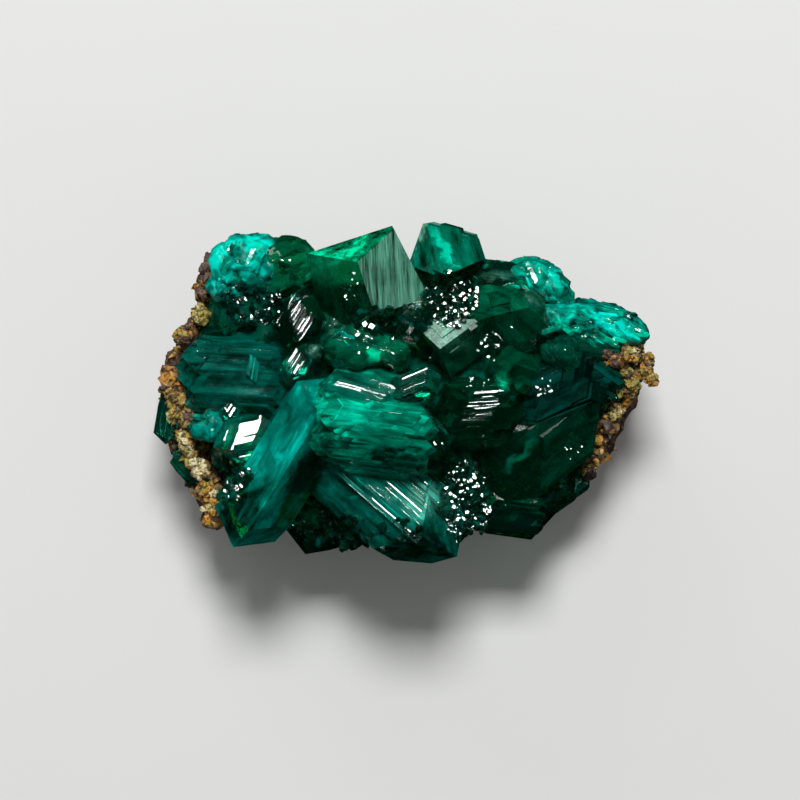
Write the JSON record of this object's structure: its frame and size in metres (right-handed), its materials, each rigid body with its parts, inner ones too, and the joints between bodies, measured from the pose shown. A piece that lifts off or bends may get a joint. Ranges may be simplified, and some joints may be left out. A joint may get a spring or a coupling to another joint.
{
  "type": "dioptase crystal cluster on matrix",
  "caption": "Rough dioptase: emerald green prisms and near-cubic crystals grown together, with fine druse between them, on a plate of limonite-stained rock.",
  "frame": {"origin": "under the middle of the bounding box, in the plane it rests on", "axes": "+X along the specimen's length, +Y across it, +Z up, out of the crystals; seen from +Z with +Y up it stands as in the picture"},
  "size_m": [0.0341, 0.023, 0.0149],
  "materials": {
    "dioptase": "glassy natural crystal faces, see-through deep emerald green, turquoise where thin or fractured",
    "limonite_rock": "rough and earthy, ochre to dark brown"
  },
  "bodies": {
    "root": {"matrix": "limonite_rock", "crystal_cluster": "dioptase", "rim_crystal_upper": "dioptase", "rim_crystal_lower": "dioptase"}
  },
  "joints": []
}
